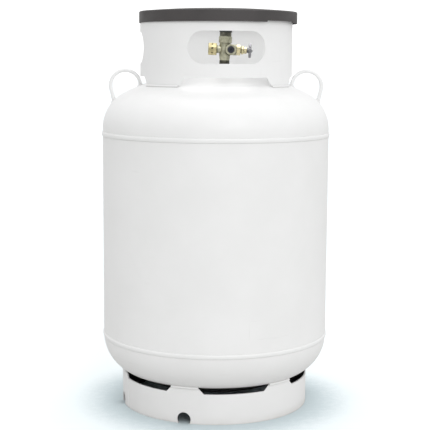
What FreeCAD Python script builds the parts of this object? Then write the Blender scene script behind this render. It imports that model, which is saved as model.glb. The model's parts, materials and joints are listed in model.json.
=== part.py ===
import FreeCAD, Part
import math
import os

# A white steel propane tank: a vertical vessel with a foot ring, a collar round its valve,
# and a hinged lid on the collar. Millimetres. +Z is up, and the origin is on the floor under
# the vessel's axis. The front is -Y. A bearing is an angle in degrees from the front, turning
# towards +X. Heights on the vessel's top fittings are measured from the top head's crown.

# ---- vessel
vessel_diameter = 762.0
vessel_wall = 4.8
shell_length = 680.0        # between the two girth seams
head_crown_radius = 689.0
head_knuckle_radius = 131.6
upper_head_flange = 19.0    # straight part between the top seam and the knuckle
lower_head_flange = 4.0
floor_gap = 45.5            # from the floor to the bottom head's lowest point
girth_bead_width = 16.0
girth_bead_height = 3.0
shell_seam_bearing = 150.0
shell_seam_width = 12.0
shell_seam_height = 2.2
fill_limit = 0.8            # share of the vessel that liquid may fill

# ---- foot ring
foot_ring_inset = 64.0      # from the vessel's side to the ring's outside
foot_ring_wall = 4.5
foot_slot_count = 6
foot_slot_first_bearing = 12.4
foot_slot_depth = 20.0
foot_slot_half_angle = 21.8
foot_slot_end_slant = 18.0  # each slot end leans in by this much over the slot's depth
foot_notch_bearings = (-18.0, -77.5, 102.5, 162.0)
foot_notch_radius = 23.0
foot_notch_rise = 14.0      # from the floor to the middle of the notch's round
foot_weld_leg = 6.0
foot_seam_bearing = -66.0

# ---- collar
collar_inset = 126.5        # from the vessel's side to the collar's outside
collar_wall = 3.5
collar_rise = 190.5         # from the head's crown to the collar's rim
rim_curl_radius = 5.5
rim_curl_tail = 3.0
window_bearings = (8.4, -98.6)
window_rise = 76.5          # from the head's crown to the window's middle
window_half_angle = 29.3
window_end_radius = 51.6
foot_gap_bearings = (8.4, -98.6, 105.6)
foot_gap_height = 29.0      # from the collar's bottom edge
foot_gap_half_angle = 31.2
foot_gap_end_angle = 5.4
collar_weld_leg = 5.0
collar_seam_bearing = 196.0
collar_seam_width = 7.0
collar_seam_height = 1.4

# ---- lid
lid_wall = 2.8
lid_clearance = 6.7         # between the collar and the inside of the skirt
lid_shift = 6.0             # the lid sits this far towards +X of the collar's centre
lid_skirt_drop = 33.0       # skirt below the collar's rim
lid_crown_height = 11.5
lid_edge_radius = 4.5
lid_seat_gap = 0.3
lid_rib_thickness = 2.6
lid_rib_count = 12
lid_hub_radius = 34.0
lid_rib_depth = 7.0
finger_recess_bearing = 52.0
finger_recess_half_angle = 15.5
finger_recess_height = 4.0

# ---- lid hinge, opposite the finger recess
hinge_bearing = finger_recess_bearing + 180.0
hinge_standoff = 15.5       # from the collar's outside to the pin's axis
hinge_drop = 36.5           # from the collar's rim down to the pin's axis
hinge_pin_diameter = 5.0
hinge_pin_clearance = 0.05
hinge_knuckle_radius = 5.5
hinge_knuckle_length = 34.0
hinge_ear_thickness = 3.0
hinge_ear_gap = 0.4
hinge_leg_height = 20.0

# ---- lifting lugs
lug_standoff = 0.5          # from the collar's outside to the middle of the lug's inner foot
lug_loop_radius = 50.0
lug_rod_diameter = 12.7
lug_leg_lean = 13.5
lug_weld_size = 3.6

# ---- valve place and boss
valve_offset = 26.5         # towards +X of the vessel's axis, square to the dished head
boss_radius = 29.0
boss_below = 19.0
boss_above = 16.5
boss_weld_leg = 6.0
thread_clearance = 0.05     # between two fixed threaded pieces
moving_clearance = 0.3      # between a fixed piece and one that slides or lifts off
stem_clearance = 0.05       # between a turning shaft and its bore

# ---- valve body
cross_rise = 72.5           # the cross's centre above the head's crown
neck_radius = 16.5
neck_below = 8.0
neck_above = 36.5
trunk_radius = 18.5
trunk_start = 51.0
trunk_top = 94.0
main_bore_radius = 9.0
arm_radius = 18.0
arm_beyond_outlet = 0.4      # of the arm, past the outlet boss's side
seat_place = 13.0
seat_bore_radius = 4.0
chamber_radius = 11.0
bonnet_thread_length = 8.0
bonnet_thread_radius = 13.0
outlet_place = 19.8
outlet_boss_radius = 17.8
outlet_boss_length = 40.0
outlet_bore_radius = 6.0
outlet_socket_depth = 16.0
body_edge = 1.2

# ---- shut-off: bonnet, stem and handwheel
bonnet_flats = 30.2
bonnet_hex_length = 14.5
bonnet_tube_radius = 10.0
bonnet_tube_length = 13.5
bonnet_cavity_depth = 6.0
groove_width = 2.0
packing_radius = 8.0
packing_length = 6.0
packing_nut_length = 19.5
packing_nut_base_radius = 14.2
packing_nut_end_radius = 10.6
stem_radius = 4.0
stem_tip_radius = 3.0
valve_travel = 6.0
seat_disc_radius = 7.6
seat_disc_thickness = 2.2
seat_holder_radius = 9.0
seat_holder_length = 12.0
seat_socket_wall = 4.0
handwheel_radius = 25.0
handwheel_rim_inner_radius = 19.5
handwheel_rim_thickness = 8.5
handwheel_web_thickness = 4.0
handwheel_hub_radius = 8.5
handwheel_hub_length = 15.5
handwheel_lobe_count = 8
handwheel_lobe_cut_radius = 5.0
handwheel_lobe_cut_depth = 2.4
handwheel_hole_radius = 3.8
wheel_washer_radius = 7.0
wheel_washer_thickness = 1.2
wheel_screw_radius = 2.0
wheel_screw_head_radius = 4.6
wheel_screw_head_height = 3.0
wheel_screw_length = 14.0

# ---- outlet plug
plug_radius = 11.4
plug_proud = 2.0
plug_nose_clearance = 0.6
plug_nose_length = 5.0
plug_key_flats = 8.0
plug_key_depth = 7.0
plug_ring_wire = 1.3

# ---- filler connection and its check valve
filler_hex_margin = 0.05     # of each flat, past the thread's outside
filler_hex_length = 22.0
filler_thread_radius = 19.0
filler_thread_length = 26.5
filler_bore_radius = 9.0
filler_chamber_radius = 12.5
filler_spigot_wall = 2.0
filler_spigot_length = 10.0
filler_lip = 2.0
filler_seat_height = 20.0    # above the hexagon's base
check_seat_width = 1.8
check_disc_thickness = 3.0
check_seal_thickness = 1.4
check_seal_inner_radius = 5.0
check_stem_radius = 2.0
check_stem_below_guide = 4.0
check_guide_thickness = 3.0
check_spring_radius = 5.6
check_spring_wire = 0.7
check_spring_turns = 6.0
flow_hole_count = 4
check_flow_hole_radius = 2.2
check_flow_hole_circle = 7.6

# ---- filler cap
cap_wall = 1.7
cap_thread_cover = 13.5      # how much of the thread the cap's skirt covers
cap_top_thickness = 4.0
cap_grip_count = 24
cap_grip_radius = 0.9
gasket_thickness = 1.5

# ---- relief valve on the left arm
relief_neck_radius = 13.0
relief_neck_length = 30.0
relief_bore_radius = 7.5
relief_cap_room = 4.45       # between the neck and the inside of the cap
relief_cap_length = 28.5
relief_cap_lap = 2.5         # how far the cap screws over the neck
relief_cap_wall = 2.8
relief_cap_end_wall = 3.0
relief_cap_edge_radius = 4.0
relief_cap_hole_radius = 4.5
relief_vent_radius = 3.2
relief_vent_count = 8
relief_vent_first_angle = 8.0
relief_vent_place = 15.0     # from the cap's open end
relief_seat_width = 3.0
relief_disc_thickness = 3.0
relief_seal_thickness = 1.2
relief_stem_radius = 2.5
relief_spring_radius = 6.8
relief_spring_wire = 1.1
relief_spring_turns = 5.0
relief_spring_length = 13.0
adjuster_thickness = 4.0
adjuster_hole_radius = 3.0

# ---- bleeder and dip tube, at the back of the trunk
bleeder_rise = 57.0
bleeder_boss_radius = 8.0
bleeder_boss_length = 27.0
bleeder_screw_radius = 2.5
bleeder_head_radius = 6.0
bleeder_head_length = 8.0
bleeder_seat_depth = 6.0     # inside the trunk's outside
bleeder_slot_width = 1.4
bleeder_slot_depth = 2.0
bleeder_passage_radius = 1.0
dip_tube_radius = 3.2
dip_tube_wall = 0.9
dip_tube_top = 60.0

# ---- worked out from the sizes above
vessel_radius = vessel_diameter / 2
knuckle_centre = vessel_radius - head_knuckle_radius
head_rise = head_crown_radius - math.sqrt(
    (head_crown_radius - head_knuckle_radius) ** 2 - knuckle_centre ** 2
)
lower_flange_z = floor_gap + head_rise
lower_seam_z = lower_flange_z + lower_head_flange
upper_seam_z = lower_seam_z + shell_length
upper_flange_z = upper_seam_z + upper_head_flange
crown_z = upper_flange_z + head_rise
crown_centre_z = crown_z - head_crown_radius
foot_ring_radius = vessel_radius - foot_ring_inset
collar_radius = vessel_radius - collar_inset
lug_middle = collar_radius + lug_standoff + lug_loop_radius
collar_top_z = crown_z + collar_rise
lid_inner_radius = collar_radius + lid_clearance
lid_radius = lid_inner_radius + lid_wall
lid_underside_z = collar_top_z + lid_seat_gap
lid_top_edge_z = lid_underside_z + lid_wall + 2.0
lid_bottom_z = collar_top_z - lid_skirt_drop
hinge_radius = collar_radius + hinge_standoff
hinge_z = collar_top_z - hinge_drop
valve_tilt = math.degrees(math.asin(valve_offset / head_crown_radius))
cross_z = crown_z + cross_rise
trunk_top_z = crown_z + trunk_top
arm_length = outlet_place + outlet_boss_radius + arm_beyond_outlet
bonnet_end = arm_length + bonnet_hex_length
packing_start = bonnet_end + groove_width
packing_end = packing_start + packing_nut_length
handwheel_start = packing_end + 0.6
handwheel_end = handwheel_start + handwheel_hub_length
filler_hex_flats = 2 * (filler_thread_radius + filler_hex_margin)
filler_spigot_radius = filler_chamber_radius + filler_spigot_wall
check_disc_radius = filler_bore_radius + check_seat_width
cap_radius = filler_thread_radius + moving_clearance + cap_wall
plug_nose_radius = outlet_bore_radius - plug_nose_clearance
relief_cap_radius = relief_neck_radius + relief_cap_room + relief_cap_wall
relief_disc_radius = relief_bore_radius + relief_seat_width
adjuster_hole_circle = relief_disc_radius
filler_seat_z = trunk_top_z + filler_seat_height
filler_top_z = trunk_top_z + filler_hex_length + filler_thread_length
bleeder_seat = trunk_radius - bleeder_seat_depth
relief_open_end = relief_neck_length - relief_cap_lap
relief_cap_end = relief_open_end + relief_cap_length
full_turn = 360.0
small = 0.01
deep = 100.0                 # longer than any wall that a cutter passes through

FRONT = FreeCAD.Vector(0, -1, 0)
BACK = FreeCAD.Vector(0, 1, 0)
RIGHT = FreeCAD.Vector(1, 0, 0)
LEFT = FreeCAD.Vector(-1, 0, 0)
UP = FreeCAD.Vector(0, 0, 1)
AXIS = FreeCAD.Vector(0, 0, 0)


# ---- drawing helpers

def at(x, y, z):
    return FreeCAD.Vector(x, y, z)


def face_xz(start, *moves):
    """A flat face in the XZ plane. A move is a corner, or an arc's (middle, end)."""
    edges = []
    here = start
    for move in moves:
        if isinstance(move[0], tuple):
            middle, end = move
            arc = Part.Arc(at(here[0], 0, here[1]), at(middle[0], 0, middle[1]), at(end[0], 0, end[1]))
            edges.append(arc.toShape())
        else:
            end = move
            edges.append(Part.makeLine(at(here[0], 0, here[1]), at(end[0], 0, end[1])))
        here = end
    edges.append(Part.makeLine(at(here[0], 0, here[1]), at(start[0], 0, start[1])))
    return Part.Face(Part.Wire(edges))


def aimed(shape, base, direction):
    """A shape drawn along +Z from the origin, moved to a base point and turned to a direction."""
    moved = shape.copy()
    moved.Placement = FreeCAD.Placement(base, FreeCAD.Rotation(UP, direction)).multiply(moved.Placement)
    return moved


def revolved(start, *moves):
    """An outline of (radius, height) corners turned once round the Z axis."""
    solid = face_xz(start, *moves).revolve(AXIS, UP, full_turn)
    if solid.Volume < 0:
        solid.reverse()
    return solid


def turned(base, direction, start, *moves):
    """A turned piece: its outline is given as (radius, distance along the axis)."""
    return aimed(revolved(start, *moves), base, direction)


def bar(base, direction, radius, first, last):
    """A round bar along a direction, between two distances from the base point."""
    cylinder = Part.makeCylinder(radius, last - first, at(0, 0, first))
    return aimed(cylinder, base, direction)


def hexagon(base, direction, flats, first, last, turn):
    """A hexagonal bar with slightly bevelled corners."""
    corner = flats / math.sqrt(3)
    points = []
    for step in range(7):
        angle = math.radians(60 * step + turn)
        points.append(at(corner * math.cos(angle), corner * math.sin(angle), first))
    prism = Part.Face(Part.makePolygon(points)).extrude(at(0, 0, last - first))
    bevel = corner - flats / 2
    blank = revolved(
        (0, first),
        (corner - bevel, first),
        (corner, first + bevel / 2),
        (corner, last - bevel / 2),
        (corner - bevel, last),
        (0, last),
    )
    return aimed(prism.common(blank), base, direction)


def joined(shapes):
    whole = shapes[0]
    for shape in shapes[1:]:
        whole = whole.fuse(shape)
    return whole.removeSplitter()


def turned_to(shape, bearing):
    """Turns a shape built at the front round the vessel's axis to a bearing."""
    moved = shape.copy()
    moved.rotate(AXIS, UP, bearing)
    return moved


def on_head(shape):
    """Leans a valve piece built on the vessel's axis so that it stands square on the head."""
    moved = shape.copy()
    moved.rotate(at(0, 0, crown_centre_z), BACK, valve_tilt)
    return moved


def coil(base, direction, radius, wire, length, turns):
    """A closed-end compression spring along a direction."""
    span = length - 2 * wire
    helix = Part.makeHelix(span / turns, span, radius)
    start = Part.makeCircle(wire, at(radius, 0, 0), BACK)
    spring = Part.Wire(helix.Edges).makePipeShell([Part.Wire([start])], True, True)
    spring.translate(at(0, 0, wire))
    return aimed(spring, base, direction)


def save(name, shape):
    shape.exportStep("parts/" + name + ".step")


# ---- vessel

def head_height(radius):
    """Height of a head's outside above its flange line, at a distance from the axis."""
    tangent = head_crown_radius * knuckle_centre / (head_crown_radius - head_knuckle_radius)
    if radius < tangent:
        return head_rise - head_crown_radius + math.sqrt(head_crown_radius ** 2 - radius ** 2)
    return math.sqrt(head_knuckle_radius ** 2 - (radius - knuckle_centre) ** 2)


def dome_moves(depth, low):
    """Outline moves from the flange line over the knuckle and crown to the axis."""
    crown = head_crown_radius - depth
    knuckle = head_knuckle_radius - depth
    centre_z = head_rise - head_crown_radius
    lean = math.asin(knuckle_centre / (head_crown_radius - head_knuckle_radius))
    tangent = (crown * math.sin(lean), centre_z + crown * math.cos(lean))
    middle_angle = (math.pi / 2 + lean) / 2
    knuckle_middle = (
        knuckle_centre + knuckle * math.sin(middle_angle),
        knuckle * math.cos(middle_angle),
    )
    crown_middle = (crown * math.sin(lean / 2), centre_z + crown * math.cos(lean / 2))
    top = (0.0, centre_z + crown)
    return (
        (vessel_radius - depth, low),
        (vessel_radius - depth, 0.0),
        (knuckle_middle, tangent),
        (crown_middle, top),
    )


def domed_solid(depth, flange):
    """A full solid under one skin of a head, from its seam up."""
    return revolved((0.0, -flange), *dome_moves(depth, -flange))


def placed_head(depth, upper):
    if upper:
        solid = domed_solid(depth, upper_head_flange)
        solid.translate(at(0, 0, upper_flange_z))
        return solid
    solid = domed_solid(depth, lower_head_flange)
    flipped = aimed(solid, AXIS, at(0, 0, -1))
    flipped.translate(at(0, 0, lower_flange_z))
    return flipped


def head(upper):
    return placed_head(0.0, upper).cut(placed_head(vessel_wall, upper))


def boss_bar(radius, first, last):
    return on_head(bar(at(0, 0, crown_z), UP, radius, first, last))


def shell():
    outer = bar(AXIS, UP, vessel_radius, lower_seam_z, upper_seam_z)
    return outer.cut(bar(AXIS, UP, vessel_radius - vessel_wall, lower_seam_z, upper_seam_z))


def girth_weld(seam_z):
    half = girth_bead_width / 2
    return revolved(
        (vessel_radius, seam_z - half),
        ((vessel_radius + girth_bead_height, seam_z), (vessel_radius, seam_z + half)),
    )


def seam_bead(radius, width, height, low, high, bearing):
    """A straight weld bead standing proud of a cylinder."""
    half = width / 2
    bead_radius = (half ** 2 + height ** 2) / (2 * height)
    rod = bar(at(0, -(radius + height - bead_radius), 0), UP, bead_radius, low, high)
    bead = rod.cut(bar(AXIS, UP, radius, low - 1, high + 1))
    return turned_to(bead, bearing)


def shell_seam_weld():
    gap = girth_bead_width / 2
    return seam_bead(
        vessel_radius,
        shell_seam_width,
        shell_seam_height,
        lower_seam_z + gap,
        upper_seam_z - gap,
        shell_seam_bearing,
    )


def valve_boss():
    outer = boss_bar(boss_radius, -boss_below, boss_above)
    return outer.cut(boss_bar(neck_radius + thread_clearance, -boss_below - 1, boss_above + 1))


def valve_boss_weld(upper_head_solid):
    ring = turned(
        at(0, 0, crown_z),
        UP,
        (boss_radius, -boss_weld_leg),
        (boss_radius + boss_weld_leg, -boss_weld_leg),
        ((boss_radius + 0.45 * boss_weld_leg, 0.4 * boss_weld_leg), (boss_radius, boss_weld_leg)),
    )
    return on_head(ring).cut(upper_head_solid)


# ---- foot ring

def wall_cutter(points):
    """A cutter through a front wall, from (sideways, height) corners."""
    corners = [at(x, 0, z) for x, z in points]
    corners.append(corners[0])
    face = Part.Face(Part.makePolygon(corners))
    return face.extrude(at(0, -(vessel_radius + deep), 0))


def foot_ring_top():
    return lower_flange_z - head_height(foot_ring_radius - foot_ring_wall)


def foot_slots():
    top = foot_ring_top()
    wide = foot_ring_radius * math.sin(math.radians(foot_slot_half_angle))
    narrow = wide - foot_slot_end_slant
    cutter = wall_cutter([
        (-narrow, top - foot_slot_depth),
        (narrow, top - foot_slot_depth),
        (wide, top),
        (wide, top + deep),
        (-wide, top + deep),
        (-wide, top),
    ])
    step = full_turn / foot_slot_count
    return [turned_to(cutter, foot_slot_first_bearing + step * i) for i in range(foot_slot_count)]


def foot_notches():
    """Round cuts whose lower part runs out through the ring's bottom edge."""
    cutter = bar(at(0, 0, foot_notch_rise), FRONT, foot_notch_radius, 0, vessel_radius)
    return [turned_to(cutter, bearing) for bearing in foot_notch_bearings]


def foot_ring():
    top = foot_ring_top()
    ring = bar(AXIS, UP, foot_ring_radius, 0, top)
    ring = ring.cut(bar(AXIS, UP, foot_ring_radius - foot_ring_wall, -1, top + 1))
    return ring.cut(foot_slots() + foot_notches())


def foot_ring_welds(ring, lower_head_solid):
    top = foot_ring_top()
    toe = foot_ring_radius + foot_weld_leg
    bead = revolved(
        (foot_ring_radius - foot_ring_wall, top),
        (foot_ring_radius, top),
        (foot_ring_radius, top - foot_weld_leg),
        ((foot_ring_radius + 0.35 * foot_weld_leg, top - 0.1 * foot_weld_leg),
         (toe, lower_flange_z - head_height(toe))),
        (toe - foot_weld_leg, lower_flange_z),
        (foot_ring_radius - foot_ring_wall, lower_flange_z),
    )
    beads = bead.cut([lower_head_solid] + foot_slots())
    seam = seam_bead(
        foot_ring_radius,
        shell_seam_width,
        shell_seam_height,
        1.0,
        top - foot_slot_depth,
        foot_seam_bearing,
    )
    return Part.makeCompound(beads.Solids + seam.cut(beads).Solids)


# ---- collar

def collar_bottom():
    return upper_flange_z + head_height(collar_radius - collar_wall)


def window_cutter(bearing):
    """A round-ended window, cut in the flat sheet before the collar is rolled."""
    middle_z = crown_z + window_rise
    straight = collar_radius * math.radians(window_half_angle) - window_end_radius

    def flat_point(along, up):
        return at(collar_radius * math.sin(along / collar_radius), 0, middle_z + up)

    def end_curve(side):
        points = []
        for step in range(9):
            angle = math.pi / 2 - math.pi * step / 8
            along = straight + window_end_radius * math.cos(angle)
            points.append(flat_point(side * along, side * window_end_radius * math.sin(angle)))
        curve = Part.BSplineCurve()
        curve.interpolate(points)
        return curve.toShape()

    def level_edge(up):
        return Part.makeLine(flat_point(-straight, up), flat_point(straight, up))

    edges = [end_curve(1), level_edge(-window_end_radius), end_curve(-1), level_edge(window_end_radius)]
    face = Part.Face(Part.Wire(Part.__sortEdges__(edges)))
    return turned_to(face.extrude(at(0, -(vessel_radius + deep), 0)), bearing)


def foot_gap_cutter(bearing):
    """The gap under a window, open to the collar's bottom edge, with slanted ends."""
    low = collar_bottom()
    high = low + foot_gap_height
    narrow = collar_radius * math.sin(math.radians(foot_gap_half_angle))
    wide = collar_radius * math.sin(math.radians(foot_gap_half_angle + foot_gap_end_angle))
    cutter = wall_cutter([
        (-wide, low - deep),
        (wide, low - deep),
        (wide, low),
        (narrow, high),
        (-narrow, high),
        (-wide, low),
    ])
    return turned_to(cutter, bearing)


def collar():
    low = collar_bottom()
    curl = rim_curl_radius
    bend_z = collar_top_z - curl
    inner_curl = curl - collar_wall
    middle = collar_radius - curl
    ring = revolved(
        (collar_radius, low),
        (collar_radius, bend_z),
        ((middle, collar_top_z), (middle - curl, bend_z)),
        (middle - curl, bend_z - rim_curl_tail),
        (middle - inner_curl, bend_z - rim_curl_tail),
        (middle - inner_curl, bend_z),
        ((middle, bend_z + inner_curl), (middle + inner_curl, bend_z)),
        (middle + inner_curl, low),
    )
    windows = [window_cutter(bearing) for bearing in window_bearings]
    gaps = [foot_gap_cutter(bearing) for bearing in foot_gap_bearings]
    return ring.cut(windows + gaps)


def collar_welds(upper_head_solid):
    low = collar_bottom()
    toe = collar_radius + collar_weld_leg
    bead = revolved(
        (collar_radius - collar_wall, low),
        (collar_radius, low),
        (collar_radius, low + collar_weld_leg),
        ((collar_radius + 0.35 * collar_weld_leg, low + 0.2 * collar_weld_leg),
         (toe, upper_flange_z + head_height(toe))),
        (toe, low - deep),
        (collar_radius - collar_wall, low - deep),
    )
    gaps = [foot_gap_cutter(bearing) for bearing in foot_gap_bearings]
    beads = bead.cut([upper_head_solid] + gaps)
    seam = seam_bead(
        collar_radius,
        collar_seam_width,
        collar_seam_height,
        low + collar_weld_leg,
        lid_bottom_z - lid_wall,
        collar_seam_bearing,
    )
    return Part.makeCompound(beads.Solids + seam.Solids)


# ---- lifting lugs

def lug_points():
    """The right lug's loop: its middle's height, its two arc ends and its leg's direction."""
    loop_z = upper_flange_z + head_height(lug_middle - lug_loop_radius)
    lean = math.radians(lug_leg_lean)
    dip = math.radians(8.0)
    arc_start = (lug_middle - lug_loop_radius * math.cos(dip), loop_z - lug_loop_radius * math.sin(dip))
    arc_end = (lug_middle + lug_loop_radius * math.cos(lean), loop_z - lug_loop_radius * math.sin(lean))
    return loop_z, arc_start, arc_end, (-math.sin(lean), -math.cos(lean))


def leg_point(arc_end, direction, distance):
    return (arc_end[0] + direction[0] * distance, arc_end[1] + direction[1] * distance)


def leg_above_head():
    """How much of the outer leg's centre line shows above the head."""
    loop_z, arc_start, arc_end, direction = lug_points()
    low = 0.0
    high = vessel_radius
    for step in range(40):
        middle = (low + high) / 2
        x, z = leg_point(arc_end, direction, middle)
        if z > upper_flange_z + head_height(max(x, 0.0)):
            low = middle
        else:
            high = middle
    return high


def lug_rod():
    loop_z, arc_start, arc_end, direction = lug_points()
    leg_end = leg_point(arc_end, direction, leg_above_head() + 2 * lug_rod_diameter)
    start = at(arc_start[0], 0, arc_start[1])
    top = at(lug_middle, 0, loop_z + lug_loop_radius)
    end = at(arc_end[0], 0, arc_end[1])
    path = Part.Wire([
        Part.Arc(start, top, end).toShape(),
        Part.makeLine(end, at(leg_end[0], 0, leg_end[1])),
    ])
    tangent = path.Edges[0].tangentAt(path.Edges[0].FirstParameter)
    section = Part.Wire([Part.makeCircle(lug_rod_diameter / 2, start, tangent)])
    return path.makePipeShell([section], True, True)


def lug_feet():
    """Where the rod's centre line meets the head, inside and outside the loop."""
    loop_z, arc_start, arc_end, direction = lug_points()
    return (lug_middle - lug_loop_radius, loop_z), leg_point(arc_end, direction, leg_above_head())


def other_side(shape):
    return shape.mirror(AXIS, RIGHT)


def lug_welds(rod, upper_head_solid):
    beads = []
    for x, z in lug_feet():
        ball = Part.makeSphere(lug_rod_diameter / 2 + lug_weld_size, at(x, 0, z))
        bead = ball.cut([rod, upper_head_solid])
        beads.extend([bead, other_side(bead)])
    solids = []
    for bead in beads:
        solids.extend(bead.Solids)
    return Part.makeCompound(solids)


# ---- lid and its hinge

def hinge_frame(shape):
    """Moves a hinge piece drawn at the front, pin along X, round to the hinge's bearing."""
    return turned_to(shape, hinge_bearing)


def hinge_bar(radius, first, last):
    return bar(at(0, -hinge_radius, hinge_z), RIGHT, radius, first, last)


def lid_crown_point(radius, depth):
    """A point on the lid's dished top, or at a depth below it."""
    shoulder = lid_radius - lid_edge_radius
    dish = (shoulder ** 2 + lid_crown_height ** 2) / (2 * lid_crown_height)
    centre_z = lid_top_edge_z + lid_crown_height - dish
    return (radius, centre_z + math.sqrt((dish - depth) ** 2 - radius ** 2))


def lid_skin():
    edge = lid_edge_radius
    bend = edge * (1 - math.sqrt(0.5))
    shoulder = lid_radius - edge
    return revolved(
        (lid_inner_radius, lid_bottom_z),
        (lid_radius, lid_bottom_z),
        (lid_radius, lid_top_edge_z - edge),
        ((lid_radius - bend, lid_top_edge_z - bend), (shoulder, lid_top_edge_z)),
        (lid_crown_point(shoulder / 2, 0), lid_crown_point(0.0, 0)),
        lid_crown_point(0.0, lid_wall),
        (lid_crown_point(shoulder / 2, lid_wall), lid_crown_point(shoulder, lid_wall)),
        (lid_inner_radius, lid_top_edge_z - edge),
    )


def lid_ribs():
    """Radial ribs and a hub ring under the crown. Their outer ends rest on the collar's rim."""
    inside = lid_wall / 2
    low = lid_crown_point(0.0, lid_wall + lid_rib_depth)[1]
    rim_start = collar_radius - 2 * rim_curl_radius - lid_clearance - lid_shift
    step_out = lid_rib_depth / 3
    outer = lid_inner_radius + small
    rib_face = face_xz(
        (lid_hub_radius + small, low),
        (rim_start - step_out, lid_underside_z - step_out),
        (rim_start, lid_underside_z),
        (outer, lid_underside_z),
        (outer, lid_top_edge_z - lid_edge_radius / 2),
        lid_crown_point(rim_start, inside),
        (lid_crown_point(rim_start / 2, inside), lid_crown_point(lid_hub_radius + small, inside)),
    )
    rib_face.translate(at(0, -lid_rib_thickness / 2, 0))
    rib = rib_face.extrude(at(0, lid_rib_thickness, 0))
    high = lid_crown_point(lid_hub_radius + lid_rib_thickness, inside)[1]
    hub = bar(AXIS, UP, lid_hub_radius + lid_rib_thickness, low, high)
    hub = hub.cut(bar(AXIS, UP, lid_hub_radius, low - 1, high + 1))
    step = full_turn / lid_rib_count
    return [hub] + [turned_to(rib, step * (i + 0.5)) for i in range(lid_rib_count)]


def lid_knuckle():
    """The moulded barrel on the skirt that turns on the hinge pin."""
    half = hinge_knuckle_length / 2
    barrel = hinge_bar(hinge_knuckle_radius, -half, half)
    web = face_xz(
        (-half, hinge_z - hinge_knuckle_radius),
        (half, hinge_z - hinge_knuckle_radius),
        (half, hinge_z + 2.4 * hinge_knuckle_radius),
        (-half, hinge_z + 2.4 * hinge_knuckle_radius),
    ).extrude(at(0, -hinge_radius, 0))
    above = Part.makeBox(
        hinge_knuckle_length,
        hinge_standoff + hinge_knuckle_radius,
        3 * hinge_knuckle_radius,
        at(-half, -hinge_radius, lid_bottom_z),
    )
    return barrel.fuse(web.common(above))


def collar_lid():
    whole = lid_skin().fuse(lid_ribs())
    whole.translate(at(lid_shift, 0, 0))
    knuckle = hinge_frame(lid_knuckle())
    knuckle = knuckle.cut(bar(at(lid_shift, 0, 0), UP, lid_inner_radius + small, 0, 2 * crown_z))
    whole = whole.fuse(knuckle)
    whole = whole.cut(hinge_frame(hinge_bar(hinge_pin_diameter / 2 + hinge_pin_clearance, -deep, deep)))
    half = lid_radius * math.sin(math.radians(finger_recess_half_angle))
    recess = wall_cutter([
        (-half, lid_bottom_z - 1),
        (half, lid_bottom_z - 1),
        (half - finger_recess_height, lid_bottom_z + finger_recess_height),
        (-half + finger_recess_height, lid_bottom_z + finger_recess_height),
    ])
    return whole.cut(turned_to(recess, finger_recess_bearing)).removeSplitter()


def lid_hinge_bracket():
    """A folded plate welded to the collar, with two ears that hold the pin."""
    half = hinge_knuckle_length / 2 + hinge_ear_gap
    outer_half = half + hinge_ear_thickness
    low = hinge_z - hinge_knuckle_radius - 1.0
    plate = Part.makeBox(
        2 * outer_half,
        2 * hinge_ear_thickness,
        hinge_leg_height,
        at(-outer_half, -collar_radius - hinge_ear_thickness, low - hinge_leg_height),
    )
    pieces = [plate]
    for side in (-1, 1):
        centre = side * (half + hinge_ear_thickness / 2)
        ear_start = centre - hinge_ear_thickness / 2
        ear = hinge_bar(hinge_knuckle_radius, ear_start, ear_start + hinge_ear_thickness)
        arm = Part.makeBox(
            hinge_ear_thickness,
            hinge_standoff,
            hinge_leg_height,
            at(ear_start, -hinge_radius, hinge_z - hinge_leg_height),
        )
        slope = face_xz(
            (-hinge_radius - hinge_knuckle_radius, hinge_z),
            (-hinge_radius - hinge_knuckle_radius, hinge_z - deep),
            (-collar_radius - hinge_ear_thickness, hinge_z - deep),
            (-collar_radius - hinge_ear_thickness, hinge_z - hinge_leg_height),
        ).extrude(at(0, 2 * deep, 0))
        slope.translate(at(0, -deep, 0))
        slope.rotate(AXIS, UP, 90)
        arm = arm.cut(slope.cut(hinge_bar(hinge_knuckle_radius, -deep, deep)))
        pieces.extend([ear, arm])
    bracket = joined(pieces).cut(bar(AXIS, UP, collar_radius, 0, 2 * crown_z))
    hole = hinge_bar(hinge_pin_diameter / 2 + small, -deep, deep)
    return hinge_frame(bracket.cut(hole))


def lid_hinge_pin():
    """A headed pin, peened over at its far end."""
    reach = hinge_knuckle_length / 2 + hinge_ear_gap + hinge_ear_thickness
    radius = hinge_pin_diameter / 2
    pin = turned(
        at(0, -hinge_radius, hinge_z),
        RIGHT,
        (0, -reach - 2.4),
        (radius + 0.8, -reach - 2.4),
        (radius + 1.6, -reach - 1.4),
        (radius + 1.6, -reach),
        (radius, -reach),
        (radius, reach),
        (radius + 0.8, reach),
        (radius + 0.4, reach + 1.4),
        (0, reach + 1.6),
    )
    return hinge_frame(pin)


# ---- valve body

def cross_point(along=0.0):
    return at(along, 0, cross_z)


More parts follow.
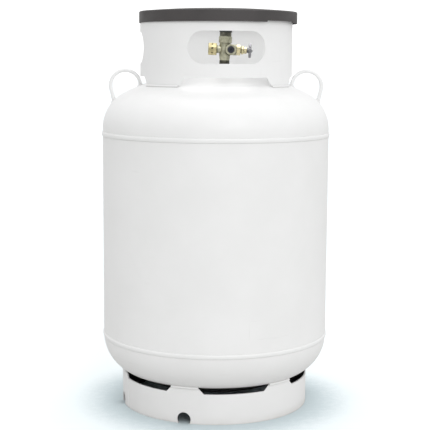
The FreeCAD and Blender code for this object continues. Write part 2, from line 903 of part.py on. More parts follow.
def valve_body():
    trunk = turned(
        at(0, 0, crown_z),
        UP,
        (0, -neck_below),
        (neck_radius - body_edge, -neck_below),
        (neck_radius, -neck_below + body_edge),
        (neck_radius, neck_above),
        (trunk_radius, trunk_start),
        (trunk_radius, trunk_top - body_edge),
        (trunk_radius - body_edge, trunk_top),
        (0, trunk_top),
    )
    arm = turned(
        cross_point(),
        RIGHT,
        (0, 0),
        (arm_radius, 0),
        (arm_radius, arm_length - body_edge),
        (arm_radius - body_edge, arm_length),
        (0, arm_length),
    )
    outlet = turned(
        cross_point(outlet_place),
        FRONT,
        (0, 0),
        (outlet_boss_radius, 0),
        (outlet_boss_radius, outlet_boss_length - body_edge),
        (outlet_boss_radius - body_edge, outlet_boss_length),
        (0, outlet_boss_length),
    )
    relief_arm = bar(cross_point(), LEFT, relief_neck_radius, 0, relief_neck_length)
    bleeder_base = at(0, 0, crown_z + bleeder_rise)
    bleeder_boss = bar(bleeder_base, BACK, bleeder_boss_radius, 0, bleeder_boss_length)
    body = joined([trunk, arm, outlet, relief_arm, bleeder_boss])
    socket_start = outlet_boss_length - outlet_socket_depth
    spigot_space = filler_spigot_length + 1.0
    bonnet_bore = bonnet_thread_radius + thread_clearance
    outlet_base = cross_point(outlet_place)
    plug_bore = plug_radius + moving_clearance
    bleeder_bore = bleeder_screw_radius + stem_clearance
    cuts = [
        bar(at(0, 0, crown_z), UP, main_bore_radius, -neck_below - 1, trunk_top),
        bar(at(0, 0, trunk_top_z), UP, filler_spigot_radius + thread_clearance, -spigot_space, 1),
        bar(cross_point(), RIGHT, seat_bore_radius, 0, seat_place + 1),
        bar(cross_point(), RIGHT, chamber_radius, seat_place, arm_length),
        bar(cross_point(), RIGHT, bonnet_bore, arm_length - bonnet_thread_length, arm_length + 1),
        bar(outlet_base, FRONT, outlet_bore_radius, 0, outlet_boss_length),
        bar(outlet_base, FRONT, plug_bore, socket_start, outlet_boss_length + 1),
        bar(cross_point(), LEFT, relief_bore_radius, 0, relief_neck_length + 1),
        bar(bleeder_base, BACK, bleeder_passage_radius, 0, bleeder_boss_length),
        bar(bleeder_base, BACK, bleeder_bore, bleeder_seat, bleeder_boss_length + 1),
    ]
    return on_head(body.cut(cuts))


# ---- shut-off

def bonnet():
    thread_start = arm_length - bonnet_thread_length
    hex_part = hexagon(cross_point(), RIGHT, bonnet_flats, arm_length, bonnet_end, 0)
    thread = bar(cross_point(), RIGHT, bonnet_thread_radius, thread_start, arm_length + small)
    tube_end = bonnet_end + bonnet_tube_length
    tube = bar(cross_point(), RIGHT, bonnet_tube_radius, bonnet_end - small, tube_end)
    whole = joined([hex_part, thread, tube])
    gland_start = tube_end - packing_length
    holder_bore = seat_holder_radius + moving_clearance
    cuts = [
        bar(cross_point(), RIGHT, stem_radius + stem_clearance, 0, deep),
        bar(cross_point(), RIGHT, holder_bore, 0, thread_start + bonnet_cavity_depth),
        bar(cross_point(), RIGHT, packing_radius, gland_start, deep),
    ]
    return on_head(whole.cut(cuts))


def packing_ring():
    end = bonnet_end + bonnet_tube_length
    ring = bar(cross_point(), RIGHT, packing_radius, end - packing_length, end)
    return on_head(ring.cut(bar(cross_point(), RIGHT, stem_radius + stem_clearance, 0, deep)))


def packing_nut():
    inner = bonnet_tube_radius + thread_clearance
    gland_face = bonnet_end + bonnet_tube_length
    flat_length = packing_nut_length / 3
    nut = turned(
        cross_point(),
        RIGHT,
        (inner, packing_start),
        (packing_nut_base_radius - body_edge, packing_start),
        (packing_nut_base_radius, packing_start + body_edge),
        (packing_nut_base_radius, packing_start + flat_length),
        (packing_nut_end_radius + 1.2, packing_start + flat_length + 1.6),
        (packing_nut_end_radius, packing_end - body_edge),
        (packing_nut_end_radius - body_edge, packing_end),
        (stem_radius + stem_clearance, packing_end),
        (stem_radius + stem_clearance, gland_face),
        (inner, gland_face),
    )
    return on_head(nut)


def stem():
    """The turning spindle. Its thin tip reaches into the sliding seat holder."""
    tip = seat_holder_tip() + valve_travel + moving_clearance
    shoulder = arm_length - bonnet_thread_length + bonnet_cavity_depth
    spindle = turned(
        cross_point(),
        RIGHT,
        (0, tip),
        (stem_tip_radius, tip),
        (stem_tip_radius, shoulder),
        (stem_radius, shoulder),
        (stem_radius, handwheel_end - 1.0),
        (0, handwheel_end - 1.0),
    )
    hole_start = handwheel_end - wheel_screw_length - 1
    thread_hole = bar(cross_point(), RIGHT, wheel_screw_radius + small, hole_start, handwheel_end)
    return on_head(spindle.cut(thread_hole))


def seat_holder_start():
    return seat_place + stem_clearance + seat_disc_thickness


def seat_holder_tip():
    """The bottom of the holder's socket for the spindle."""
    return seat_holder_start() + seat_socket_wall


def seat_disc():
    first = seat_place + stem_clearance
    return on_head(bar(cross_point(), RIGHT, seat_disc_radius, first, first + seat_disc_thickness))


def seat_holder():
    first = seat_holder_start()
    holder = turned(
        cross_point(),
        RIGHT,
        (0, first),
        (seat_holder_radius, first),
        (seat_holder_radius, first + seat_holder_length - body_edge),
        (seat_holder_radius - body_edge, first + seat_holder_length),
        (0, first + seat_holder_length),
    )
    socket = bar(cross_point(), RIGHT, stem_tip_radius + moving_clearance, seat_holder_tip(), deep)
    return on_head(holder.cut(socket))


def handwheel():
    first = handwheel_start
    web_start = first + 6.0
    rim_start = web_start - 1.0
    rim_end = rim_start + handwheel_rim_thickness
    rim_middle = (handwheel_radius + handwheel_rim_inner_radius) / 2
    rim_half = (handwheel_radius - handwheel_rim_inner_radius) / 2
    rim = turned(
        cross_point(),
        RIGHT,
        (handwheel_rim_inner_radius, rim_start + rim_half),
        ((rim_middle, rim_start), (handwheel_radius, rim_start + rim_half)),
        (handwheel_radius, rim_end - rim_half),
        ((rim_middle, rim_end), (handwheel_rim_inner_radius, rim_end - rim_half)),
    )
    web = bar(cross_point(), RIGHT, rim_middle, web_start, web_start + handwheel_web_thickness)
    hub = turned(
        cross_point(),
        RIGHT,
        (0, first),
        (handwheel_hub_radius - body_edge, first),
        (handwheel_hub_radius, first + body_edge),
        (handwheel_hub_radius, handwheel_end - body_edge),
        (handwheel_hub_radius - body_edge, handwheel_end),
        (0, handwheel_end),
    )
    wheel = joined([rim, web, hub])
    cuts = [bar(cross_point(), RIGHT, stem_radius + small, 0, handwheel_end - 1.0 + small)]
    cuts.append(bar(cross_point(), RIGHT, wheel_screw_radius + small, 0, deep + handwheel_end))
    hole_circle = (handwheel_hub_radius + handwheel_rim_inner_radius) / 2
    lobe_circle = handwheel_radius + handwheel_lobe_cut_radius - handwheel_lobe_cut_depth
    for i in range(handwheel_lobe_count):
        angle = 2 * math.pi * (i + 0.5) / handwheel_lobe_count
        y = math.cos(angle)
        z = math.sin(angle)
        scallop = at(0, lobe_circle * y, cross_z + lobe_circle * z)
        cuts.append(bar(scallop, RIGHT, handwheel_lobe_cut_radius, first - 1, handwheel_end + 1))
        if i % 2 == 0:
            hole = at(0, hole_circle * y, cross_z + hole_circle * z)
            cuts.append(bar(hole, RIGHT, handwheel_hole_radius, first - 1, handwheel_end + 1))
    return on_head(wheel.cut(cuts))


def handwheel_washer():
    washer_end = handwheel_end + wheel_washer_thickness
    washer = bar(cross_point(), RIGHT, wheel_washer_radius, handwheel_end, washer_end)
    return on_head(washer.cut(bar(cross_point(), RIGHT, wheel_screw_radius + small, 0, 2 * deep)))


def handwheel_screw():
    head_start = handwheel_end + wheel_washer_thickness
    head_end = head_start + wheel_screw_head_height
    screw = turned(
        cross_point(),
        RIGHT,
        (0, handwheel_end - wheel_screw_length),
        (wheel_screw_radius, handwheel_end - wheel_screw_length),
        (wheel_screw_radius, head_start),
        (wheel_screw_head_radius, head_start),
        (wheel_screw_head_radius, head_end - body_edge),
        (wheel_screw_head_radius - body_edge, head_end),
        (0, head_end),
    )
    slot = Part.makeBox(2.0, 2 * wheel_screw_head_radius + 2, 1.1)
    slot.translate(at(head_end - 1.4, -wheel_screw_head_radius - 1, cross_z - 0.55))
    return on_head(screw.cut(slot))


# ---- outlet plug

def outlet_plug():
    start = outlet_boss_length - outlet_socket_depth + moving_clearance
    end = outlet_boss_length + plug_proud
    plug = turned(
        cross_point(outlet_place),
        FRONT,
        (0, start - plug_nose_length),
        (plug_nose_radius - body_edge, start - plug_nose_length),
        (plug_nose_radius, start - plug_nose_length + body_edge),
        (plug_nose_radius, start),
        (plug_radius, start + body_edge),
        (plug_radius, end - body_edge),
        (plug_radius - body_edge, end),
        (0, end),
    )
    key = hexagon(cross_point(outlet_place), FRONT, plug_key_flats, end - plug_key_depth, end + deep, 0)
    groove = plug_ring_groove(plug_ring_wire)
    return on_head(plug.cut([key, groove]))


def plug_ring_groove(wire):
    start = outlet_boss_length - outlet_socket_depth + moving_clearance
    place = cross_point(outlet_place) + FRONT * (start - plug_nose_length / 2)
    return Part.makeTorus(plug_nose_radius - wire + 0.4, wire, place, FRONT)


def outlet_plug_seal():
    return on_head(plug_ring_groove(plug_ring_wire))


# ---- filler connection, its check valve and cap

def filler_connection():
    base = at(0, 0, trunk_top_z)
    hex_part = hexagon(base, UP, filler_hex_flats, 0, filler_hex_length, 0)
    upper = turned(
        base,
        UP,
        (0, filler_hex_length - small),
        (filler_thread_radius, filler_hex_length - small),
        (filler_thread_radius, filler_hex_length + filler_thread_length - body_edge),
        (filler_thread_radius - body_edge, filler_hex_length + filler_thread_length),
        (0, filler_hex_length + filler_thread_length),
    )
    spigot = bar(base, UP, filler_spigot_radius, -filler_spigot_length, small)
    whole = joined([hex_part, upper, spigot])
    cuts = [
        bar(base, UP, filler_bore_radius, 0, deep),
        bar(base, UP, filler_chamber_radius, -filler_spigot_length + filler_lip, filler_seat_height),
        bar(base, UP, filler_chamber_radius - filler_lip, -filler_spigot_length - 1, 0),
    ]
    return on_head(whole.cut(cuts))


def guide_floor_z():
    return trunk_top_z - filler_spigot_length + filler_lip


def ring_of_holes(base, direction, radius, circle, count, first, last):
    holes = []
    for i in range(count):
        angle = 2 * math.pi * i / count
        centre = at(circle * math.cos(angle), circle * math.sin(angle), first)
        hole = Part.makeCylinder(radius, last - first, centre)
        holes.append(aimed(hole, base, direction))
    return holes


def filler_check_guide():
    base = at(0, 0, guide_floor_z())
    disc = bar(base, UP, filler_chamber_radius - thread_clearance, 0, check_guide_thickness)
    cuts = [bar(base, UP, check_stem_radius + stem_clearance, -1, deep)]
    past = check_guide_thickness + 1
    cuts += ring_of_holes(
        base, UP, check_flow_hole_radius, check_flow_hole_circle, flow_hole_count, -1, past
    )
    return on_head(disc.cut(cuts))


def filler_check_poppet():
    top = filler_seat_z - stem_clearance
    low = guide_floor_z() - check_stem_below_guide
    bottom = top - check_disc_thickness
    poppet = turned(
        AXIS,
        UP,
        (0, low),
        (check_stem_radius, low),
        (check_stem_radius, bottom),
        (check_disc_radius, bottom),
        (check_disc_radius, top - check_seal_thickness),
        (check_seal_inner_radius, top - check_seal_thickness),
        (check_seal_inner_radius, top),
        (0, top),
    )
    return on_head(poppet)


def filler_check_seal():
    top = filler_seat_z - stem_clearance
    seal = bar(AXIS, UP, check_disc_radius, top - check_seal_thickness, top)
    return on_head(seal.cut(bar(AXIS, UP, check_seal_inner_radius, 0, 2 * crown_z)))


def filler_check_spring():
    floor = guide_floor_z() + check_guide_thickness
    length = filler_seat_z - stem_clearance - check_disc_thickness - floor
    spring = coil(
        at(0, 0, floor), UP, check_spring_radius, check_spring_wire, length, check_spring_turns
    )
    return on_head(spring)


def filler_cap():
    low = filler_top_z - cap_thread_cover
    under = filler_top_z + gasket_thickness
    top = under + cap_top_thickness
    inner = filler_thread_radius + moving_clearance
    cap = turned(
        AXIS,
        UP,
        (inner, low),
        (cap_radius, low),
        (cap_radius, top - 2.0),
        ((cap_radius - 0.6, top - 0.6), (cap_radius - 2.0, top)),
        (0, top),
        (0, under),
        (inner, under),
    )
    grips = ring_of_holes(AXIS, UP, cap_grip_radius, cap_radius + 0.3, cap_grip_count, low - 1, top + 1)
    return on_head(cap.cut(grips))


def filler_cap_gasket():
    ring = bar(AXIS, UP, filler_thread_radius, filler_top_z, filler_top_z + gasket_thickness)
    return on_head(ring.cut(bar(AXIS, UP, filler_bore_radius, 0, 2 * crown_z)))


# ---- relief valve

def relief_cap():
    inner = relief_cap_radius - relief_cap_wall
    edge = relief_cap_edge_radius
    bend = edge * (1 - math.sqrt(0.5))
    cap = turned(
        cross_point(),
        LEFT,
        (relief_neck_radius + thread_clearance, relief_open_end),
        (relief_cap_radius - body_edge, relief_open_end),
        (relief_cap_radius, relief_open_end + body_edge),
        (relief_cap_radius, relief_cap_end - edge),
        ((relief_cap_radius - bend, relief_cap_end - bend), (relief_cap_radius - edge, relief_cap_end)),
        (relief_cap_hole_radius, relief_cap_end),
        (relief_cap_hole_radius, relief_cap_end - relief_cap_end_wall),
        (inner, relief_cap_end - relief_cap_end_wall),
        (inner, relief_neck_length + small),
        (relief_neck_radius + thread_clearance, relief_neck_length + small),
    )
    place = cross_point(-(relief_open_end + relief_vent_place))
    vents = []
    for i in range(relief_vent_count):
        angle = math.radians(relief_vent_first_angle + full_turn * i / relief_vent_count)
        direction = at(0, -math.cos(angle), math.sin(angle))
        vents.append(bar(place, direction, relief_vent_radius, inner - 3, relief_cap_radius + 1))
    return on_head(cap.cut(vents))


def relief_disc_face():
    return relief_neck_length + stem_clearance


def relief_seal():
    first = relief_disc_face()
    return on_head(bar(cross_point(), LEFT, relief_disc_radius, first, first + relief_seal_thickness))


def relief_spring_start():
    return relief_disc_face() + relief_seal_thickness + relief_disc_thickness


def adjuster_start():
    return relief_spring_start() + relief_spring_length


def relief_poppet():
    first = relief_disc_face() + relief_seal_thickness
    poppet = turned(
        cross_point(),
        LEFT,
        (0, first),
        (relief_disc_radius, first),
        (relief_disc_radius, relief_spring_start()),
        (relief_stem_radius, relief_spring_start()),
        (relief_stem_radius, adjuster_start() + adjuster_thickness),
        (0, adjuster_start() + adjuster_thickness),
    )
    return on_head(poppet)


def relief_spring():
    base = cross_point() + LEFT * relief_spring_start()
    length = relief_spring_length
    spring = coil(base, LEFT, relief_spring_radius, relief_spring_wire, length, relief_spring_turns)
    return on_head(spring)


def relief_adjuster():
    first = adjuster_start()
    last = first + adjuster_thickness
    disc = bar(cross_point(), LEFT, relief_cap_radius - relief_cap_wall - thread_clearance, first, last)
    cuts = [bar(cross_point(), LEFT, relief_stem_radius + stem_clearance, 0, deep)]
    circle = adjuster_hole_circle
    cuts += ring_of_holes(
        cross_point(), LEFT, adjuster_hole_radius, circle, flow_hole_count, first - 1, last + 1
    )
    return on_head(disc.cut(cuts))


# ---- bleeder and dip tube

def bleeder_screw():
    base = at(0, 0, crown_z + bleeder_rise)
    head_start = bleeder_boss_length + moving_clearance
    head_end = head_start + bleeder_head_length
    screw = turned(
        base,
        BACK,
        (0, bleeder_seat + moving_clearance),
        (bleeder_screw_radius, bleeder_seat + moving_clearance + 1),
        (bleeder_screw_radius, head_start),
        (bleeder_head_radius - 0.6, head_start),
        (bleeder_head_radius, head_start + 0.6),
        (bleeder_head_radius, head_end - 0.6),
        (bleeder_head_radius - 0.6, head_end),
        (0, head_end),
    )
    slot = Part.makeBox(2 * bleeder_head_radius + 2, bleeder_slot_depth + 1, bleeder_slot_width)
    slot.translate(at(
        -bleeder_head_radius - 1, head_end - bleeder_slot_depth, base.z - bleeder_slot_width / 2
    ))
    return on_head(screw.cut(slot))


def dip_tube():
    """Its open bottom end is at the highest liquid level that the fill limit allows."""
    bore = vessel_radius - vessel_wall
    inner_head = math.pi * domed_share(bore)
    straight = shell_length + upper_head_flange + lower_head_flange
    whole = 2 * inner_head + math.pi * bore ** 2 * straight
    liquid = fill_limit * whole - inner_head
    bottom_z = lower_flange_z + liquid / (math.pi * bore ** 2)
    place = at(0, main_bore_radius - dip_tube_radius - thread_clearance, 0)
    tube = bar(place, UP, dip_tube_radius, bottom_z, crown_z + dip_tube_top)
    inside = dip_tube_radius - dip_tube_wall
    tube = tube.cut(bar(place, UP, inside, bottom_z - 1, crown_z + dip_tube_top - 2))
    port = bar(at(0, 0, crown_z + bleeder_rise), BACK, bleeder_passage_radius, place.y, place.y + deep)
    return on_head(tube.cut(port))


def domed_share(bore):
    """A two-to-one head's volume over pi, for a bore radius."""
    return bore ** 3 / 3


# ---- every piece

def build():
    os.makedirs("parts", exist_ok=True)
    upper_solid = placed_head(0.0, True)
    lower_solid = placed_head(0.0, False)
    boss_hole = boss_bar(boss_radius, -boss_below - deep, boss_above + deep)
    save("lower_head", head(False))
    save("shell", shell())
    save("upper_head", head(True).cut(boss_hole))
    save("upper_girth_weld", girth_weld(upper_seam_z))
    save("lower_girth_weld", girth_weld(lower_seam_z))
    save("shell_seam_weld", shell_seam_weld())
    save("valve_boss", valve_boss())
    save("valve_boss_weld", valve_boss_weld(upper_solid))
    ring = foot_ring()
    save("foot_ring", ring)
    save("foot_ring_welds", foot_ring_welds(ring, lower_solid))
    save("collar", collar())
    save("collar_welds", collar_welds(upper_solid))
    rod = lug_rod()
    right_lug = rod.cut(upper_solid)
    save("right_lifting_lug", right_lug)
    save("left_lifting_lug", other_side(right_lug))
    save("lifting_lug_welds", lug_welds(rod, upper_solid))
    save("collar_lid", collar_lid())
    save("lid_hinge_bracket", lid_hinge_bracket())
    save("lid_hinge_pin", lid_hinge_pin())
    save("valve_body", valve_body())
    save("bonnet", bonnet())
    save("packing_ring", packing_ring())
    save("packing_nut", packing_nut())
    save("stem", stem())
    save("seat_disc", seat_disc())
    save("seat_holder", seat_holder())
    save("handwheel", handwheel())
    save("handwheel_washer", handwheel_washer())
    save("handwheel_screw", handwheel_screw())
    save("outlet_plug", outlet_plug())
    save("outlet_plug_seal", outlet_plug_seal())
    save("filler_connection", filler_connection())
    save("filler_check_guide", filler_check_guide())
    save("filler_check_poppet", filler_check_poppet())
    save("filler_check_seal", filler_check_seal())
    save("filler_check_spring", filler_check_spring())
    save("filler_cap", filler_cap())
    save("filler_cap_gasket", filler_cap_gasket())
    save("relief_cap", relief_cap())
    save("relief_seal", relief_seal())
    save("relief_poppet", relief_poppet())
    save("relief_spring", relief_spring())
    save("relief_adjuster", relief_adjuster())
    save("bleeder_screw", bleeder_screw())
    save("dip_tube", dip_tube())


build()
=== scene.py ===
import json
import math

import bmesh
import bpy
from mathutils import Matrix, Vector


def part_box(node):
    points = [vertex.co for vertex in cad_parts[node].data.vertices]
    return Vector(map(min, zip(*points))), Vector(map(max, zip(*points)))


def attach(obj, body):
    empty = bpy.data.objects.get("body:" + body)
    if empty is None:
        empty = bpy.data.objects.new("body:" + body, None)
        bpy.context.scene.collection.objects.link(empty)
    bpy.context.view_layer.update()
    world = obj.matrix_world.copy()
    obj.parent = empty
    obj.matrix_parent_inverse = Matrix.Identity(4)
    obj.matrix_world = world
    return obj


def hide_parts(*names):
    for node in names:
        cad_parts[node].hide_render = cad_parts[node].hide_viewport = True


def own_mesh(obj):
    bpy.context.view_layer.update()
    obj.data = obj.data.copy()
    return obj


# The looks of a white steel propane tank: painted steel and its weld beads, a charcoal lid,
# and a brass multi-function valve. Metres. +Z is up and the tank's front faces -Y.

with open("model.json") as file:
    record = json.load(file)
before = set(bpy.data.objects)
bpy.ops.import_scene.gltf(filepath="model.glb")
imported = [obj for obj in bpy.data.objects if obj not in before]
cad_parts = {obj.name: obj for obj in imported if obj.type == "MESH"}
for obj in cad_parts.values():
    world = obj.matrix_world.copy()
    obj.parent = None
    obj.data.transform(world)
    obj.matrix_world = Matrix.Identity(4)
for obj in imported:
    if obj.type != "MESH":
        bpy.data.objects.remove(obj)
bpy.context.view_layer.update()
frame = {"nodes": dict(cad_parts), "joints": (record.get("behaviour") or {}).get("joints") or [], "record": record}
nodes = frame["nodes"]
joints = {joint["name"]: joint for joint in frame["joints"]}
MM = 0.001
FRONT = Vector((0, -1, 0))
UP = Vector((0, 0, 1))


# ---- places read from the frame

def axis_frame(origin, direction, side=None):
    """A frame at an origin whose Z runs along a direction, and whose X is nearest to a side."""
    z = Vector(direction).normalized()
    guide = side if side is not None else (UP if abs(z.z) < 0.9 else FRONT)
    x = (guide - z * guide.dot(z)).normalized()
    y = z.cross(x)
    made = Matrix((x, y, z)).transposed().to_4x4()
    made.translation = origin
    return made


cross = Vector(joints["handwheel_turn"]["pos_m"])
valve_right = Vector(joints["handwheel_turn"]["axis"]).normalized()
valve_up = Vector(joints["filler_cap_lift"]["axis"]).normalized()
valve_frame = axis_frame(cross, valve_up, valve_right)


def points_of(node, place=Matrix.Identity(4)):
    """A node's points in a frame of the caller's."""
    inverse = place.inverted()
    return [inverse @ vertex.co for vertex in nodes[node].data.vertices]


def span_of(node, place):
    """A node's lowest and highest corners in a frame of the caller's."""
    points = points_of(node, place)
    low = Vector([min(point[i] for point in points) for i in range(3)])
    high = Vector([max(point[i] for point in points) for i in range(3)])
    return low, high


def merged_copy(node):
    """A node's mesh as one connected bmesh."""
    work = bmesh.new()
    work.from_mesh(nodes[node].data)
    bmesh.ops.remove_doubles(work, verts=work.verts, dist=0.01 * MM)
    return work


def separate_pieces(node):
    """The points of each separate solid that a node holds."""
    work = merged_copy(node)
    unseen = set(work.verts)
    found = []
    while unseen:
        stack = [unseen.pop()]
        points = []
        while stack:
            vertex = stack.pop()
            points.append(vertex.co.copy())
            for edge in vertex.link_edges:
                other = edge.other_vert(vertex)
                if other in unseen:
                    unseen.remove(other)
                    stack.append(other)
        found.append(points)
    work.free()
    return found


def sharp_loops(node, least_angle):
    """The closed lines of sharp edges on a node, as ordered points."""
    work = merged_copy(node)
    sharp = [e for e in work.edges if e.is_manifold and e.calc_face_angle() > least_angle]
    links = {}
    for edge in sharp:
        a, b = edge.verts
        links.setdefault(a, []).append(b)
        links.setdefault(b, []).append(a)
    loops = []
    left = set(links)
    while left:
        here = left.pop()
        loop = [here.co.copy()]
        while True:
            following = [v for v in links[here] if v in left]
            if not following:
                break
            here = following[0]
            left.remove(here)
            loop.append(here.co.copy())
        loops.append(loop)
    work.free()
    return loops


# ---- node trees

class Graph:
    """Builds a node tree: a value given to an input is set on it, and a socket is linked."""

    def __init__(self, tree):
        self.tree = tree

    def add(self, kind, values=None, **settings):
        node = self.tree.nodes.new(kind)
        for name, value in settings.items():
            setattr(node, name, value)
        for name, value in (values or {}).items():
            if isinstance(value, bpy.types.NodeSocket):
                self.tree.links.new(value, node.inputs[name])
            else:
                node.inputs[name].default_value = value
        return node

    def math(self, operation, a, b=0.0, c=0.0):
        node = self.add("ShaderNodeMath", {0: a, 1: b, 2: c}, operation=operation)
        return node.outputs[0]

    def mix(self, share, a, b):
        """A colour between two colours."""
        node = self.add("ShaderNodeMix", {0: share, 6: a, 7: b}, data_type="RGBA")
        return node.outputs[2]

    def ramp(self, value, low, high, to_low=0.0, to_high=1.0):
        node = self.add(
            "ShaderNodeMapRange",
            {0: value, 1: low, 2: high, 3: to_low, 4: to_high},
            interpolation_type="SMOOTHSTEP",
        )
        return node.outputs[0]

    def noise(self, vector, scale, detail=3.0, roughness=0.5):
        values = {"Vector": vector, "Scale": scale, "Detail": detail, "Roughness": roughness}
        return self.add("ShaderNodeTexNoise", values).outputs[0]

    def dot(self, a, b):
        return self.add("ShaderNodeVectorMath", {0: a, 1: b}, operation="DOT_PRODUCT").outputs["Value"]


def new_group(name, inputs, outputs):
    """A shader node group with float or vector inputs and float outputs."""
    tree = bpy.data.node_groups.new(name, "ShaderNodeTree")
    for label, default in inputs:
        kind = "NodeSocketVector" if default is None else "NodeSocketFloat"
        socket = tree.interface.new_socket(label, in_out="INPUT", socket_type=kind)
        if default is not None:
            socket.default_value = default
    for label in outputs:
        tree.interface.new_socket(label, in_out="OUTPUT", socket_type="NodeSocketFloat")
    graph = Graph(tree)
    given = graph.add("NodeGroupInput").outputs
    result = graph.add("NodeGroupOutput").inputs
    return graph, given, result


def orange_peel_group():
    """The fine dimpled skin of a sprayed or powdered coat, with the slow waves under it."""
    graph, given, result = new_group(
        "orange_peel", [("Vector", None), ("Peel Scale", 260.0), ("Wave Scale", 9.0)], ["Height"]
    )
    peel = graph.noise(given[0], given[1], 2.0)
    wave = graph.noise(given[0], given[2], 1.0)
    height = graph.math("MULTIPLY_ADD", wave, 2.5, peel)
    graph.tree.links.new(height, result[0])
    return graph.tree


def cast_grain_group():
    """The sandy skin of a casting, a forging or a moulding, and its light and dark patches."""
    inputs = [("Vector", None), ("Grain Scale", 900.0), ("Patch Scale", 40.0)]
    graph, given, result = new_group("cast_grain", inputs, ["Height", "Patches"])
    fine = graph.noise(given[0], given[1], 4.0, 0.65)
    coarse = graph.noise(given[0], graph.math("MULTIPLY", given[1], 0.22), 3.0)
    height = graph.math("MULTIPLY_ADD", coarse, 1.4, fine)
    patches = graph.ramp(graph.noise(given[0], given[2], 5.0, 0.6), 0.36, 0.66)
    graph.tree.links.new(height, result[0])
    graph.tree.links.new(patches, result[1])
    return graph.tree


def edge_wear_group():
    """Where a convex edge has been rubbed, broken up so that it is not an even line."""
    graph, given, result = new_group(
        "edge_wear", [("Vector", None), ("Edge Width", 0.0012), ("Break Scale", 90.0)], ["Wear"]
    )
    rounded = graph.add("ShaderNodeBevel", {"Radius": given[1]}, samples=3).outputs[0]
    normal = graph.add("ShaderNodeNewGeometry").outputs["Normal"]
    edge = graph.ramp(graph.math("SUBTRACT", 1.0, graph.dot(rounded, normal)), 0.02, 0.16)
    broken = graph.ramp(graph.noise(given[0], given[2], 6.0, 0.7), 0.42, 0.62)
    graph.tree.links.new(graph.math("MULTIPLY", edge, broken), result[0])
    return graph.tree


def settled_dust_group():
    """Dust on what faces up, in soft uneven patches."""
    graph, given, result = new_group("settled_dust", [("Vector", None), ("Amount", 0.3)], ["Dust"])
    normal = graph.add("ShaderNodeNewGeometry").outputs["Normal"]
    local = graph.add(
        "ShaderNodeVectorTransform",
        {0: normal},
        vector_type="NORMAL",
        convert_from="WORLD",
        convert_to="OBJECT",
    )
    height = graph.add("ShaderNodeSeparateXYZ", {0: local.outputs[0]}).outputs["Z"]
    facing = graph.ramp(height, 0.35, 0.95)
    patches = graph.ramp(graph.noise(given[0], 14.0, 6.0, 0.62), 0.3, 0.75, 0.25, 1.0)
    dust = graph.math("MULTIPLY", graph.math("MULTIPLY", facing, patches), given[1])
    graph.tree.links.new(dust, result[0])
    return graph.tree


def handling_marks_group():
    """Short fine scuffs that run two ways, left by slings, gloves and other tanks."""
    graph, given, result = new_group(
        "handling_marks", [("Vector", None), ("Mark Scale", 30.0), ("Amount", 0.5)], ["Marks"]
    )
    strokes = []
    for turn, stretch in ((0.35, (1.0, 1.0, 0.06)), (-0.9, (0.08, 0.08, 1.0))):
        lie = {"Vector": given[0], "Rotation": (turn, turn, 0.0), "Scale": stretch}
        turned = graph.add("ShaderNodeMapping", lie)
        scaled = graph.math("MULTIPLY", given[1], 9.0)
        stroke = graph.noise(turned.outputs[0], scaled, 3.0, 0.6)
        strokes.append(graph.ramp(stroke, 0.66, 0.74))
    area = graph.ramp(graph.noise(given[0], given[1], 2.0), 0.5, 0.7)
    both = graph.math("MAXIMUM", strokes[0], strokes[1])
    marks = graph.math("MULTIPLY", graph.math("MULTIPLY", both, area), given[2])
    graph.tree.links.new(marks, result[0])
    return graph.tree


def tool_rings_group():
    """The fine even grooves that a lathe leaves. The vector's X runs along the turned axis."""
    inputs = [("Vector", None), ("Rings per Metre", 3000.0)]
    graph, given, result = new_group("tool_rings", inputs, ["Height"])
    along = graph.add("ShaderNodeSeparateXYZ", {0: given[0]}).outputs["X"]
    turns = graph.math("MULTIPLY", along, given[1])
    ring = graph.math("SINE", turns)
    drift = graph.noise(given[0], 160.0, 2.0)
    graph.tree.links.new(graph.math("MULTIPLY_ADD", ring, 0.35, drift), result[0])
    return graph.tree


def sheltered_group():
    """How far a place is shut in by what stands close round it, from 0 in the open to 1, broken up unevenly: the
    mask for painted shade.
    """
    graph, given, result = new_group("sheltered", [("Vector", None), ("Reach", 0.01)], ["Shelter"])
    cover = graph.add("ShaderNodeAmbientOcclusion", {"Distance": given[1]}, samples=8).outputs["AO"]
    broken = graph.ramp(graph.noise(given[0], 40.0, 4.0), 0.3, 0.6, 0.8, 1.0)
    shelter = graph.math("MULTIPLY", graph.ramp(cover, 0.98, 0.35), broken)
    graph.tree.links.new(shelter, result[0])
    return graph.tree


orange_peel = orange_peel_group()
cast_grain = cast_grain_group()
edge_wear = edge_wear_group()
settled_dust = settled_dust_group()
handling_marks = handling_marks_group()
tool_rings = tool_rings_group()
sheltered = sheltered_group()


# ---- materials

class Finish:
    """A material being built on one Principled shader, with object coordinates at hand."""

    def __init__(self, name, metallic=0.0, roughness=0.5, **plain):
        self.material = bpy.data.materials.new(name)
        self.material.use_nodes = True
        tree = self.material.node_tree
        tree.nodes.clear()
        self.graph = Graph(tree)
        values = {"Metallic": metallic, "Roughness": roughness}
        self.shader = self.graph.add("ShaderNodeBsdfPrincipled", values)
        for label, value in plain.items():
            self.shader.inputs[label.replace("_", " ")].default_value = value
        output = self.graph.add("ShaderNodeOutputMaterial")
        tree.links.new(self.shader.outputs[0], output.inputs["Surface"])
        self.place = self.graph.add("ShaderNodeTexCoord").outputs["Object"]

    def effect(self, group, **values):
        node = self.graph.add("ShaderNodeGroup", node_tree=group)
        self.graph.tree.links.new(self.place, node.inputs["Vector"])
        for label, value in values.items():
            node.inputs[label.replace("_", " ")].default_value = value
        return node.outputs

    def feed(self, label, socket):
        self.graph.tree.links.new(socket, self.shader.inputs[label])

    def bump(self, height, strength, depth):
        bump = self.graph.add("ShaderNodeBump", {"Height": height, "Strength": strength, "Distance": depth})
        self.feed("Normal", bump.outputs[0])


def times(colour, factor):
    """A colour made lighter or darker by a factor."""
    return tuple(min(1.0, factor * channel) for channel in colour[:3]) + (1,)


